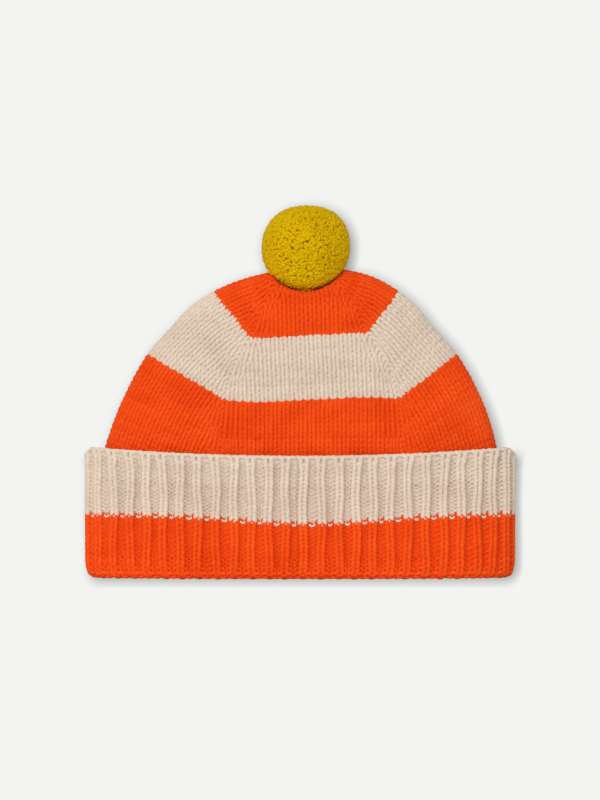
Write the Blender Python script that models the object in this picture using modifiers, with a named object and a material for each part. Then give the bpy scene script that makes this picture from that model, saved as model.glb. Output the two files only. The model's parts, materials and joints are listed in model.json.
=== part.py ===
"""Pom pom beanie: a knitted hat standing on its folded edge, with a deep ribbed turn-up, a
striped four-gore crown and a cut-yarn pompom tied on top.

Frame: metres, +Z up towards the pompom. The front of the hat faces -Y, and the origin is the
centre of the opening, in the plane of the folded bottom edge.
"""

import math

import bmesh
import bpy

COLLECTION = "pom_pom_beanie"

# Whole hat, laid nearly flat: every level section is a flattened superellipse
HAT_WIDTH = 0.220
HAT_DEPTH = 0.060
SECTION_POWER = 2.6
COLUMNS = 72
GAP = 0.0003

# Turn-up: a thick ribbed band, folded at the bottom edge
RIB_THICKNESS = 0.0040
FOLD_SLOT = 0.0010
RIM_HEIGHT = 0.0625
RIM_SAG = 0.0045
RIM_ROLL = 0.0034
TURN_UP_STRIPE = 0.0286
INNER_LEG_HEIGHT = 0.0120
REST_FLAT = 0.0030

# Crown: a rounded dome of four gores that starts inside the turn-up
CROWN_BASE = 0.060
CROWN_TOP = 0.1585
CROWN_HALF_WIDTH = 0.1015
CROWN_HALF_DEPTH = 0.024
CROWN_ROUNDING = 1.35
CROWN_SHOULDER = 2.45
CROWN_LEAN = 0.003
CROWN_THICKNESS = 0.0025

# Stripe edges, as courses of knitting: (height on the front gore, height at the side folds,
# half-width of the front gore, sideways turn of the front gore)
BASE_COURSE = (0.0600, 0.0600, 0.0480, 0.0060)
LOWER_COURSE = (0.0915, 0.1138, 0.0440, 0.0060)
UPPER_COURSE = (0.1243, 0.1455, 0.0295, 0.0045)

# Nest: the pompom presses the top of the crown down between two shoulders
NEST_DEPTH = 0.0143
NEST_HALF_WIDTH = 0.0218
NEST_EDGE_POWER = 1.1
NEST_START = 0.132
TIE_HOLE_RADIUS = 0.0032

# Pompom, its tie and the knot inside the crown
POMPOM_X = 0.0028
POMPOM_Z = 0.168
POMPOM_RADIUS = 0.0222
POMPOM_CHAMBER = 0.0050
POMPOM_CHANNEL = 0.0018
POMPOM_CHANNEL_SLOPE = math.tan(math.radians(22))
BINDING_RADIUS = 0.0032
CORD_RADIUS = 0.0011
YARN_RADIUS = 0.0008
GATHER_RADIUS = 0.0044
KNOT_RADIUS = 0.0026
KNOT_BELOW_HOLE = 0.0092
KNOT_POINTS = 48
KNOT_HALF_HEIGHT = 0.0015
TAIL_LENGTH = 0.022
TAIL_SPREAD = 0.006

# Care label, sewn by its top edge inside the back of the band
LABEL_WIDTH = 0.026
LABEL_LENGTH = 0.034
LABEL_THICKNESS = 0.0006
LABEL_TOP = 0.050
LABEL_Y = 0.0178
STITCH_RADIUS = 0.0004
STITCH_COUNT = 22
STITCH_ROW = 0.0235
SEAM_RADIUS = 0.0006
SEAM_TOP = 0.128

# Colours: linear red, green, blue
ORANGE = (0.80, 0.060, 0.010)
BEIGE = (0.74, 0.58, 0.44)
MUSTARD = (0.64, 0.38, 0.010)
WHITE = (0.82, 0.82, 0.80)


def clear_scene():
    for existing in list(bpy.data.objects):
        bpy.data.objects.remove(existing)


def make_collection(name):
    collection = bpy.data.collections.new(name)
    bpy.context.scene.collection.children.link(collection)
    return collection


def make_material(name, colour, roughness):
    material = bpy.data.materials.new(name)
    material.use_nodes = True
    shader = material.node_tree.nodes["Principled BSDF"]
    shader.inputs["Base Color"].default_value = (*colour, 1.0)
    shader.inputs["Roughness"].default_value = roughness
    shader.inputs["Metallic"].default_value = 0.0
    material.diffuse_color = (*colour, 1.0)
    return material


def mesh_object(name, bm, colour, roughness=0.9):
    bmesh.ops.recalc_face_normals(bm, faces=bm.faces)
    mesh = bpy.data.meshes.new(name)
    bm.to_mesh(mesh)
    bm.free()
    mesh.shade_smooth()
    mesh.set_sharp_from_angle(angle=math.radians(40))
    built = bpy.data.objects.new(name, mesh)
    built.data.materials.append(make_material(name, colour, roughness))
    parts.objects.link(built)
    return built


def ring_shell(name, rings, colour):
    """A closed band: each ring of points is joined to the next, and the last to the first."""
    bm = bmesh.new()
    loops = [[bm.verts.new(point) for point in ring] for ring in rings]
    for near, far in zip(loops, loops[1:] + loops[:1]):
        for column in range(len(near)):
            following = (column + 1) % len(near)
            bm.faces.new((near[column], near[following], far[following], far[column]))
    return mesh_object(name, bm, colour)


def signed_power(value, power):
    return math.copysign(abs(value) ** power, value)


def level_ring(half_width, half_depth, height, sag=0.0):
    """A flattened ring at one height; sag lifts its sides above its front and back."""
    ring = []
    for column in range(COLUMNS):
        turn = 2 * math.pi * column / COLUMNS
        across = signed_power(math.cos(turn), 2 / SECTION_POWER)
        deep = signed_power(math.sin(turn), 2 / SECTION_POWER)
        ring.append((half_width * across, half_depth * deep, height + sag * across ** 2))
    return ring


def turn_up_ring(inset, height, sag=0.0):
    return level_ring(HAT_WIDTH / 2 - inset, HAT_DEPTH / 2 - inset, height, sag)


def arc(centre, radius, start, end, steps):
    """Points (across, up) on an arc, angles in degrees."""
    points = []
    for step in range(steps + 1):
        angle = math.radians(start + (end - start) * step / steps)
        points.append((centre[0] + radius * math.cos(angle), centre[1] + radius * math.sin(angle)))
    return points


# ---- Turn-up and band ----


def make_turn_up_edge():
    """The cast-on edge: a soft roll along the free top of the turn-up."""
    centre = (RIB_THICKNESS / 2, RIM_HEIGHT - RIM_ROLL / 2)
    profile = arc(centre, RIB_THICKNESS / 2, 0, 315, 7)
    squash = RIM_ROLL / RIB_THICKNESS
    rings = []
    for inset, up in profile:
        rings.append(turn_up_ring(inset, centre[1] + (up - centre[1]) * squash, RIM_SAG))
    return ring_shell("turn_up_edge", rings, BEIGE)


def make_turn_up_upper_band():
    low = TURN_UP_STRIPE + GAP
    high = RIM_HEIGHT - RIM_ROLL - GAP
    middle = (low + high) / 2
    outside = [turn_up_ring(0, height, RIM_SAG) for height in (low, middle, high)]
    inside = [turn_up_ring(RIB_THICKNESS, height, RIM_SAG) for height in (high, middle, low)]
    return ring_shell("turn_up_upper_band", outside + inside, BEIGE)


def make_turn_up_lower_band():
    """The lower stripe of the turn-up and the fold, where the band turns up inside itself."""
    full = 2 * RIB_THICKNESS + FOLD_SLOT
    corner = (full - REST_FLAT) / 2
    slot_radius = FOLD_SLOT / 2
    slot_floor = RIB_THICKNESS + slot_radius
    outer_corner = arc((corner, corner), corner, 180, 270, 4)
    inner_corner = arc((full - corner, corner), corner, 270, 360, 4)
    slot = arc((full / 2, slot_floor), slot_radius, 360, 180, 2)
    rings = [turn_up_ring(0, TURN_UP_STRIPE, RIM_SAG)]
    rings += [turn_up_ring(inset, height) for inset, height in outer_corner + inner_corner]
    rings.append(turn_up_ring(full, INNER_LEG_HEIGHT))
    rings.append(turn_up_ring(full - RIB_THICKNESS, INNER_LEG_HEIGHT))
    rings += [turn_up_ring(inset, height) for inset, height in slot]
    rings.append(turn_up_ring(RIB_THICKNESS, TURN_UP_STRIPE, RIM_SAG))
    return ring_shell("turn_up_lower_band", rings, ORANGE)


def make_inner_rib_band():
    """The hidden part of the ribbing, from the fold up to the plain knitting of the crown."""
    low = INNER_LEG_HEIGHT + GAP
    high = CROWN_BASE - GAP
    outer = RIB_THICKNESS + FOLD_SLOT
    inner = outer + RIB_THICKNESS
    top_width = CROWN_HALF_WIDTH - RIB_THICKNESS
    top_depth = CROWN_HALF_DEPTH - RIB_THICKNESS
    rings = [
        turn_up_ring(outer, low),
        level_ring(CROWN_HALF_WIDTH, CROWN_HALF_DEPTH, high),
        level_ring(top_width, top_depth, high),
        turn_up_ring(inner, low),
    ]
    return ring_shell("inner_rib_band", rings, ORANGE)


# ---- Crown ----


def crown_profile(height):
    """How much of the base section is left at a height: 1 at the base, 0 at the top."""
    climb = min(max((height - CROWN_BASE) / (CROWN_TOP - CROWN_BASE), 0.0), 1.0)
    return (1 - climb ** CROWN_ROUNDING) ** (1 / CROWN_SHOULDER)


def crown_centre(height):
    climb = (height - CROWN_BASE) / (CROWN_TOP - CROWN_BASE)
    return CROWN_LEAN * climb ** 2


def crown_depth(x, height):
    """Half-depth of the dome at a height, at a place across it."""
    left = crown_profile(height)
    across = min(abs(x - crown_centre(height)) / (CROWN_HALF_WIDTH * left), 1.0)
    return CROWN_HALF_DEPTH * left * (1 - across ** SECTION_POWER) ** (1 / SECTION_POWER)


def dome_height(x, y):
    """Height of the dome above a point of the plan, found by halving."""
    low, high = CROWN_BASE, CROWN_TOP
    for _ in range(40):
        middle = (low + high) / 2
        left = crown_profile(middle)
        across = abs(x - crown_centre(middle)) < CROWN_HALF_WIDTH * left
        if across and abs(y) < crown_depth(x, middle):
            low = middle
        else:
            high = middle
    return low


def blend_course(low, high, part):
    return tuple(a + (b - a) * part for a, b in zip(low, high))


def raise_course(course, lift):
    return (course[0] + lift, course[1] + lift, *course[2:])


def course_ring(course):
    """One course of knitting: level across the front and back gores, rising to the side folds."""
    gore_height, fold_height, gore_half, turn = course
    reach = CROWN_HALF_WIDTH * crown_profile(fold_height)
    folds = (crown_centre(fold_height) + reach, crown_centre(fold_height) - reach)
    steps = COLUMNS // 6
    ring = []
    for side in (1, -1):
        first_fold, last_fold = folds[::side]
        first_corner = side * (gore_half - turn)
        last_corner = -side * (gore_half + turn)
        for step in range(steps):
            towards_fold = math.cos(step / steps * math.pi / 2)
            ring.append((first_corner + (first_fold - first_corner) * towards_fold, towards_fold, side))
        for step in range(steps):
            ring.append((first_corner + (last_corner - first_corner) * step / steps, 0.0, side))
        for step in range(steps):
            towards_fold = math.sin(step / steps * math.pi / 2)
            ring.append((last_corner + (last_fold - last_corner) * towards_fold, towards_fold, side))
    points = []
    for x, towards_fold, side in ring:
        height = gore_height + (fold_height - gore_height) * towards_fold
        points.append((x, side * crown_depth(x, height), height))
    return points


def nest_drop(point):
    """How far the pompom presses the dome down at a point near the top."""
    aside = (point[0] - POMPOM_X) / NEST_HALF_WIDTH
    if abs(aside) >= 1 or point[2] <= NEST_START:
        return 0.0
    climb = (point[2] - NEST_START) / (CROWN_TOP - NEST_START)
    return NEST_DEPTH * (1 - aside ** 2) ** NEST_EDGE_POWER * climb


def lower_ring(ring, drops):
    return [(x, y, z - drop) for (x, y, z), drop in zip(ring, drops)]


def inside_ring(ring):
    """The same ring on the inner face: the dome drawn in by the thickness on every axis."""
    across = 1 - CROWN_THICKNESS / CROWN_HALF_WIDTH
    deep = 1 - CROWN_THICKNESS / CROWN_HALF_DEPTH
    high = 1 - CROWN_THICKNESS / (CROWN_TOP - CROWN_BASE)
    return [(x * across, y * deep, CROWN_BASE + (z - CROWN_BASE) * high) for x, y, z in ring]


def crown_shell(name, outside, colour):
    drops = [[nest_drop(point) for point in ring] for ring in outside]
    outer = [lower_ring(ring, drop) for ring, drop in zip(outside, drops)]
    inner = [lower_ring(inside_ring(ring), drop) for ring, drop in zip(outside, drops)]
    return ring_shell(name, outer + inner[::-1], colour)


def make_crown_band(name, low, high, colour, courses):
    outside = [course_ring(blend_course(low, high, step / courses)) for step in range(courses + 1)]
    return crown_shell(name, outside, colour)


def make_crown_cap(courses=8):
    """The top stripe, closing to a small hole that the pompom's tie passes through."""
    edge = course_ring(raise_course(UPPER_COURSE, GAP))
    outside = [edge]
    for course in range(1, courses + 1):
        outward = math.cos(course / courses * math.pi / 2)
        ring = []
        for column, (x, y, _) in enumerate(edge):
            turn = 2 * math.pi * column / COLUMNS
            rim_x = POMPOM_X + TIE_HOLE_RADIUS * math.cos(turn)
            rim_y = TIE_HOLE_RADIUS * math.sin(turn)
            place = (rim_x + (x - rim_x) * outward, rim_y + (y - rim_y) * outward)
            ring.append((*place, dome_height(*place)))
        outside.append(ring)
    return crown_shell("crown_cap", outside, ORANGE)


# ---- Yarns, pompom and label ----


def yarn(name, points, radius, colour, cyclic=False, origin=(0, 0, 0)):
    """A length of yarn or thread through points that are measured from its origin."""
    curve = bpy.data.curves.new(name, "CURVE")
    curve.dimensions = "3D"
    curve.bevel_depth = radius
    curve.bevel_resolution = 2
    curve.use_fill_caps = True
    spline = curve.splines.new("POLY")
    spline.points.add(len(points) - 1)
    for place, point in zip(spline.points, points):
        place.co = (*point, 1.0)
    spline.use_cyclic_u = cyclic
    built = bpy.data.objects.new(name, curve)
    built.location = origin
    built.data.materials.append(make_material(name, colour, 0.85))
    parts.objects.link(built)
    return built


def circle(radius, steps, across, up):
    """Points on a circle spanned by two unit directions."""
    points = []
    for step in range(steps):
        angle = 2 * math.pi * step / steps
        weights = (radius * math.cos(angle), radius * math.sin(angle))
        points.append(tuple(weights[0] * a + weights[1] * b for a, b in zip(across, up)))
    return points


def make_pivot(name, height):
    pivot = bpy.data.objects.new(name, None)
    pivot.location = (POMPOM_X, 0, height)
    pivot.empty_display_size = 0.01
    parts.objects.link(pivot)
    return pivot


def channel_meets(radius):
    """Where the tie's channel meets a sphere about the pompom's centre: (out, below)."""
    square = 1 + POMPOM_CHANNEL_SLOPE ** 2
    half = POMPOM_CHANNEL * POMPOM_CHANNEL_SLOPE
    below = (-half + math.sqrt(half ** 2 - square * (POMPOM_CHANNEL ** 2 - radius ** 2))) / square
    return POMPOM_CHANNEL + below * POMPOM_CHANNEL_SLOPE, below


def make_pompom():
    """A ball with a chamber for its binding and a widening channel down to the tie hole."""
    out, below = channel_meets(POMPOM_RADIUS)
    chamber_out, chamber_below = channel_meets(POMPOM_CHAMBER)
    outer = arc((0, 0), POMPOM_RADIUS, 90, math.degrees(math.atan2(-below, out)), 16)
    chamber = arc((0, 0), POMPOM_CHAMBER, math.degrees(math.atan2(-chamber_below, chamber_out)), 90, 6)
    profile = outer + chamber
    profile[0] = (0.0, POMPOM_RADIUS)
    profile[-1] = (0.0, POMPOM_CHAMBER)
    mesh = bpy.data.meshes.new("pompom")
    edges = [(point, point + 1) for point in range(len(profile) - 1)]
    mesh.from_pydata([(across, 0, up) for across, up in profile], edges, [])
    ball = bpy.data.objects.new("pompom", mesh)
    ball.location = (POMPOM_X, 0, POMPOM_Z)
    ball.data.materials.append(make_material("pompom", MUSTARD, 0.95))
    parts.objects.link(ball)
    turned = ball.modifiers.new("Turned", "SCREW")
    turned.steps = 40
    turned.render_steps = 40
    turned.use_merge_vertices = True
    turned.merge_threshold = 0.00001
    turned.use_normal_calculate = True
    return ball


def make_tie(hole_height):
    """The pompom's yarn tie: binding, cord, knot under the crown, and two loose tails."""
    pivot = make_pivot("tie_pivot", hole_height)
    knot_z = -KNOT_BELOW_HOLE
    knot_half = KNOT_HALF_HEIGHT + GAP
    cord_top = POMPOM_Z - hole_height - BINDING_RADIUS - YARN_RADIUS - GAP
    pieces = [yarn("tie_cord", [(0, 0, knot_z + knot_half), (0, 0, cord_top)], CORD_RADIUS, MUSTARD)]
    knot = []
    for step in range(KNOT_POINTS):
        angle = 2 * math.pi * step / KNOT_POINTS
        knot.append((
            KNOT_RADIUS / 3 * (math.sin(angle) + 2 * math.sin(2 * angle)),
            KNOT_RADIUS / 3 * (math.cos(angle) - 2 * math.cos(2 * angle)),
            knot_z - KNOT_RADIUS / 3 * math.sin(3 * angle),
        ))
    pieces.append(yarn("tie_knot", knot, KNOT_RADIUS / 5, MUSTARD, cyclic=True))
    for name, side in (("tie_tail_left", -1), ("tie_tail_right", 1)):
        tail = []
        for step in range(9):
            share = step / 8
            aside = side * (1.3 * CORD_RADIUS + TAIL_SPREAD * math.sin(share * math.pi / 2))
            tail.append((aside, 0, knot_z - knot_half - TAIL_LENGTH * share))
        pieces.append(yarn(name, tail, YARN_RADIUS, MUSTARD))
    for piece in pieces:
        piece.parent = pivot
    ring = circle(BINDING_RADIUS, 20, (0, 1, 0), (0, 0, 1))
    yarn("pompom_binding", ring, YARN_RADIUS, MUSTARD, True, (POMPOM_X, 0, POMPOM_Z))


def make_gather_yarn(hole_height):
    """The yarn drawn through the last stitches, which closes the crown around the tie."""
    ring = circle(GATHER_RADIUS, 24, (1, 0, 0), (0, 1, 0))
    below = CROWN_THICKNESS / 2 + 2 * YARN_RADIUS + 2 * GAP
    yarn("crown_gather_yarn", ring, YARN_RADIUS, ORANGE, True, (POMPOM_X, 0, hole_height - below))


def make_back_seam():
    """The linking thread of the one seam, up the inside of the back."""
    clear = SEAM_RADIUS + GAP
    band_bottom = HAT_DEPTH / 2 - 2 * RIB_THICKNESS - FOLD_SLOT
    band_top = CROWN_HALF_DEPTH - RIB_THICKNESS
    points = [(0, band_bottom - clear, INNER_LEG_HEIGHT + GAP), (0, band_top - clear, CROWN_BASE)]
    steps = 14
    for step in range(1, steps + 1):
        height = CROWN_BASE + (SEAM_TOP - CROWN_BASE) * step / steps
        inner_face = (CROWN_HALF_DEPTH - CROWN_THICKNESS) * crown_profile(height)
        points.append((0, min(inner_face - clear - GAP, band_top - clear), height))
    yarn("back_seam_thread", points, SEAM_RADIUS, ORANGE)


def make_care_label():
    """A blank folded label whose top edge is the line that it flaps about."""
    bm = bmesh.new()
    bmesh.ops.create_cube(bm, size=1)
    bmesh.ops.scale(bm, vec=(LABEL_WIDTH, LABEL_THICKNESS, LABEL_LENGTH), verts=bm.verts)
    bmesh.ops.translate(bm, vec=(0, 0, -LABEL_LENGTH / 2), verts=bm.verts)
    label = mesh_object("care_label", bm, WHITE, 0.6)
    label.location = (0, LABEL_Y, LABEL_TOP)
    stitches = []
    for step in range(STITCH_COUNT + 1):
        across = (step / STITCH_COUNT - 0.5) * STITCH_ROW
        stitches.append((across, STITCH_RADIUS * math.cos(step * math.pi), 2.2 * STITCH_RADIUS))
    yarn("care_label_stitches", stitches, STITCH_RADIUS, WHITE, origin=(0, LABEL_Y, LABEL_TOP))


clear_scene()
parts = make_collection(COLLECTION)

make_turn_up_edge()
make_turn_up_upper_band()
make_turn_up_lower_band()
make_inner_rib_band()

make_crown_band("crown_lower_band", BASE_COURSE, LOWER_COURSE, ORANGE, 3)
make_crown_band("crown_middle_band", raise_course(LOWER_COURSE, GAP), UPPER_COURSE, BEIGE, 3)
make_crown_cap()

tie_hole_height = CROWN_TOP - NEST_DEPTH - CROWN_THICKNESS / 2
make_pompom()
make_tie(tie_hole_height)
make_gather_yarn(tie_hole_height)

make_back_seam()
make_care_label()
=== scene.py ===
"""Looks of the pom pom beanie: every course of knitting is laid as its own yarn on the hat's
surface, the pompom is made of cut strands, and a blank label hangs inside.
"""

import json
import math

import bpy
import numpy as np
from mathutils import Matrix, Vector


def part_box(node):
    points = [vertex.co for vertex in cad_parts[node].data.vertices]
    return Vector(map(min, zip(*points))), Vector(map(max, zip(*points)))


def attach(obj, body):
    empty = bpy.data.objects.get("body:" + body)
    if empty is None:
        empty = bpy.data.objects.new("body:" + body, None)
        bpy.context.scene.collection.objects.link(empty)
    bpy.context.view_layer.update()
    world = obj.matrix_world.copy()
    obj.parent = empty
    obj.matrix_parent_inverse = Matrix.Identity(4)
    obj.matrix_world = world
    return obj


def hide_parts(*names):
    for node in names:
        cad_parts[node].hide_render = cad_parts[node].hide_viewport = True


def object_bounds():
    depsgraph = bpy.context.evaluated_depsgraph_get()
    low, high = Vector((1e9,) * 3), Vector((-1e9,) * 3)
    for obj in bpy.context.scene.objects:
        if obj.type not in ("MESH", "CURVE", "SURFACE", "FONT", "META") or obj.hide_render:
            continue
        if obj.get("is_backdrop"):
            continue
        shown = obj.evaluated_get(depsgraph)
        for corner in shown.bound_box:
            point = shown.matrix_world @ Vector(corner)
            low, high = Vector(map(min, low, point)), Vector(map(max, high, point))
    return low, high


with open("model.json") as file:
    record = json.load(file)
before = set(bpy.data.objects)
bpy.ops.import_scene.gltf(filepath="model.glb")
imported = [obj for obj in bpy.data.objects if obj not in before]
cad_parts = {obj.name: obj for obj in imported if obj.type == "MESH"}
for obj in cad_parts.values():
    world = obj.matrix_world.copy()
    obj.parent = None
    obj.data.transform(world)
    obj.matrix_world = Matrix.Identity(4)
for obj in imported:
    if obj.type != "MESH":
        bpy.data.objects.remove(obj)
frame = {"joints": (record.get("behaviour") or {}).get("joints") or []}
cad_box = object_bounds()
uneven = np.random.default_rng(7)  # all that is uneven is drawn from it, in the order of the pieces

# ---- The hat's surface, from the frame ----

SECTION_POWER = 2.6

turn_up_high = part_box("turn_up_lower_band")[1]
edge_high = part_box("turn_up_edge")[1]
crown_low, crown_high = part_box("crown_lower_band")
pompom_low, pompom_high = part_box("pompom")

HALF_WIDTH = turn_up_high.x
HALF_DEPTH = turn_up_high.y
RIM_SAG = 0.0045
RIM_HEIGHT = edge_high.z - RIM_SAG
TURN_UP_STRIPE = turn_up_high.z - RIM_SAG
RIB_HALF = 0.0020
FOLD_RADIUS = 0.0025
RIM_ROLL = 0.00075
RIM_COVER = 0.0008

POMPOM_X = (pompom_low.x + pompom_high.x) / 2
POMPOM_RADIUS = (pompom_high.x - pompom_low.x) / 2
POMPOM_Z = pompom_high.z - POMPOM_RADIUS
nod = next(joint for joint in frame["joints"] if joint["name"] == "pompom_nod")
NOD_HEIGHT = nod["pos_m"][2]
NOD_LIMIT = math.radians(nod["range_deg"][1])
NOD_STEPS = 9

CROWN_INSET = 0.0018
CROWN_BASE = crown_low.z
CROWN_TOP = 0.1585 - CROWN_INSET
CROWN_HALF_WIDTH = crown_high.x - CROWN_INSET
CROWN_HALF_DEPTH = crown_high.y - CROWN_INSET
CROWN_ROUNDING = 1.35
CROWN_SHOULDER = 2.45
CROWN_BOW = 0.0012
CROWN_LEAN = 0.0085
FLANK_DIP = 0.017
FLANK_HEIGHT = 0.1275
FLANK_SPREAD = 0.0085
NEST_RADIUS = POMPOM_RADIUS + 0.0010
NEST_ROUNDING = 0.0006
NEST_EDGE = 0.002
TIE_HOLE_RADIUS = 0.0032

# The crown's cloth while it settles
SHEET_ROWS = 34
SHEET_AROUND = 120
SHEET_LOW = 0.0585
SHEET_HIGH = 0.1500
SETTLE_LIMIT = 0.0013
SETTLE_FRAMES = 20
SETTLE_START = 0.0001
SETTLE_TOP_FADE = 0.004
SETTLE_SIDE_FADE = 0.08
CLOTH = {
    "quality": 5, "mass": 0.02, "tension_stiffness": 40, "compression_stiffness": 40,
    "shear_stiffness": 13, "bending_stiffness": 0.01, "shrink_min": -0.02,
}

# The crown's courses: (course, height at the front, height at the folds)
CROWN_COURSES = ((-6, 0.0410, 0.0606), (-4, 0.0462, 0.0660), (14, 0.0915, 0.1138), (27, 0.1243, 0.1455))
FIRST_COURSE = -6
LOWER_SPLIT = 5
LOWER_STRIPE_END = 14
MIDDLE_SPLIT = 21
MIDDLE_STRIPE_END = 27
LAST_COURSE = 41
CAP_WEB_END = LAST_COURSE + 0.4
CAP_COURSES = 15
CAP_GATHER = 1.7
CAP_GATHER_DROP = 0.7
HIDDEN_BELOW = 0.0590
ZONE_POINTS = 80
FRONT_WAVES = ((0.0011, 0.034, 0.022), (-0.0013, -0.020, 0.016))  # (rise, place, spread)
BACK_WAVE = 0.0010
BACK_WAVE_LENGTH = 0.017
GORE_HALF = 0.0440
GORE_NARROWS = 0.0145
GORE_FLARES = 0.0028
GORE_TURN = 0.0060
GORE_STRAIGHTENS = 0.0015

# Stitches
STITCH_WIDTH = 0.00435
YARN = 0.00124
PLAIN_LEAN = 0.158
PLAIN_OVERLAP = 0.00080
PLAIN_DEPTH = 0.00068
WOBBLE = (0.02, 0.00009, 0.00008)  # along, up and outward
COURSE_SHADES = (0.35, 0.65)
# A web's shade is its tone: the crown's web is darker than its yarn, a painted shade in the gaps between the
# loops; the band's keeps the middle tone
CROWN_WEB = (0.0007, -0.0003, 0.35)  # front, back and shade
BAND_WEB = (0.0002, -0.0004, 0.5)
WEB_ROWS = 12

# Ribbing: pairs are for knit and purl wales
RIB_COUNT = 54
RIB_ROW = 0.00215
INNER_RIB_ROW = 0.0023
INNER_START = 0.012
RIB_RELIEF = 0.00085
RIB_SHIFT = 0.0034
RIB_LOOP = (0.00032, 0.00030)
RIB_LEAN = (0.128, 0.13)
RIB_OVERLAP = (0.00085, 0.00055)
RIB_YARN = (0.00100, 0.00062)
RIB_LEG_SWELL = (0.00026, 0.00014)
RIB_YARN_AT_RIM = (0.00145, 0.0009)
RIB_YARN_AT_FOLD = 0.00118
PURL_DEPTH_AT_RIM = 0.0007
KNIT_SHARE = 0.56
RIM_KNIT_SHARE = 0.76
RIM_ROW = 0.00105
RIM_YARN = 0.00088
RIM_OVERLAP = -0.00030
RIM_OUT = 0.0006
RIM_LOOP = 0.00008
RIM_FADE = 0.0045
FOLD_PRESS = 0.0045
RIB_SWAY = 0.0009
RIB_SWAY_LENGTH = 0.0065
SEAM_INSET = 0.0026
SEAM_LOOP = 0.0026
CORNER_DIP = 0.0056
CORNER_START = 0.960
CORNER_BASE = 0.040
CORNER_ROUNDING = 0.92
STRIPE_SAG = (0.05, 0.47)  # middle and spread
STRIPE_SAG_REACH = 0.014
STRIPE_REACH = 0.0008
# Painted light: the band's yarn is painted a little lighter than the crown's, for the light that the turn-up
# catches
TURN_UP_PAINTED_LIGHT = 0.2
FOLD_TUCK = 0.012
FOLD_TUCK_HEIGHT = 0.004

# Pompom and its tie
STRAND_COUNT = 4300
STRAND_SHARES = np.array([0.27, 0.62, 0.90, 0.975, 1.0])
STRAND_WIDTHS = np.array([0.00040, 0.00085, 0.00120, 0.00112, 0.00072])
STRAND_BEND = 0.0006
TRIM_UNEVEN = 0.00020
TRIM_LIMITS = (-0.0013, 0.0004)
TUFT_SHARES = np.array([0.80, 0.85, 0.91, 0.975, 1.0])
FUZZ_COUNT = 3600
FUZZ_WIDTHS = np.array([0.00010, 0.00009, 0.00007, 0.00003])
FUZZ_ROOT = 0.0022
FUZZ_LENGTH = 0.0021
FUZZ_BEND = 0.0009
CHANNEL_ANGLE = 25
FUZZ_ANGLE = CHANNEL_ANGLE + 8
TUFT_ANGLE = 14
CHANNEL_TUFT = 0.0008
TIE_ANGLE = 9
# Painted light: strands that point down are painted lighter, standing in for light bounced up from the crown
# onto the ball's underside
UNDERSIDE_PAINTED_LIGHT = 1.3
TRIM_POWER = 2.3
TRIM_SQUARE = 0.8
TRIM_FULL = 0.0009
SQUAT = 0.945
KNOT_RADIUS = 0.0026
PLY_PITCH = 0.0042
PLY_OFFSET = 0.5
PLY_RADIUS = 0.58
FRAY_FIBRES = 7
FRAY_DROP = 0.0004

# Picture
BACKGROUND = (0.896, 0.905, 0.880)
VIEW_HEIGHT = 0.4093
EYE_HEIGHT = 0.0911
SHEET_Y = 0.003
# The backdrop's painted shadow of the hat: how far it reaches, and the hidden bar that stands in for the
# fold's edge in it
SHADE_REACH = 0.0062
SHADE_BAR = 0.008
SHADE_BAR_FOOT = 0.0004
SHADE_BAR_DEPTH = 0.008
SHADE_BAR_INSET = 0.004


def unit(vectors):
    return vectors / np.linalg.norm(vectors, axis=-1, keepdims=True)


def travelled(points):
    """Distance along a line, at each of its points."""
    return np.concatenate([[0], np.cumsum(np.linalg.norm(np.diff(points, axis=0), axis=1))])


def columns(*parts):
    return np.stack(parts, axis=1)


def tangents(path, closed):
    ends = np.roll(path, -1, axis=0) - np.roll(path, 1, axis=0) if closed else np.gradient(path, axis=0)
    return unit(ends)


def add_object(name, data):
    thing = bpy.data.objects.new(name, data)
    bpy.context.scene.collection.objects.link(thing)
    return thing


def section(turn):
    """The hat's squarish cross-section: places across and deep, from -1 to 1, at turns round it."""
    return [np.sign(wave) * np.abs(wave) ** (2 / SECTION_POWER) for wave in (np.cos(turn), np.sin(turn))]


def crown_climb(height):
    """0 at the crown's base, rising to 1 at its top."""
    return np.clip((height - CROWN_BASE) / (CROWN_TOP - CROWN_BASE), 0, 1)


def crown_profile(height):
    """How much of the base section is left at a height: 1 at the base, 0 at the top."""
    flatter = FLANK_DIP * np.exp(-((height - FLANK_HEIGHT) / FLANK_SPREAD) ** 2)
    return np.maximum((1 - crown_climb(height) ** CROWN_ROUNDING) ** (1 / CROWN_SHOULDER) - flatter, 0)


def crown_centre(height):
    """The crown stands a little to the right: a slight bow half way up, and a lean at the top."""
    climb = crown_climb(height)
    return CROWN_BOW * np.sin(np.pi * climb ** 0.8) + CROWN_LEAN * climb ** 9


def crown_depth(x, height):
    """How far the crown reaches forward and back, at a place across it and a height."""
    left = crown_profile(height)
    reach = np.maximum(CROWN_HALF_WIDTH * left, 1e-6)
    across = np.minimum(np.abs(x - crown_centre(height)) / reach, 1)
    return CROWN_HALF_DEPTH * left * (1 - across ** SECTION_POWER) ** (1 / SECTION_POWER)


def dome_height(x, y):
    """Height of the dome above points of the plan, found by halving."""
    low = np.full(len(x), CROWN_BASE)
    high = np.full(len(x), CROWN_TOP - 1e-5)
    for _ in range(40):
        middle = (low + high) / 2
        under = np.abs(y) < crown_depth(x, middle)
        under &= np.abs(x - crown_centre(middle)) < CROWN_HALF_WIDTH * crown_profile(middle)
        low = np.where(under, middle, low)
        high = np.where(under, high, middle)
    return low


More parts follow.
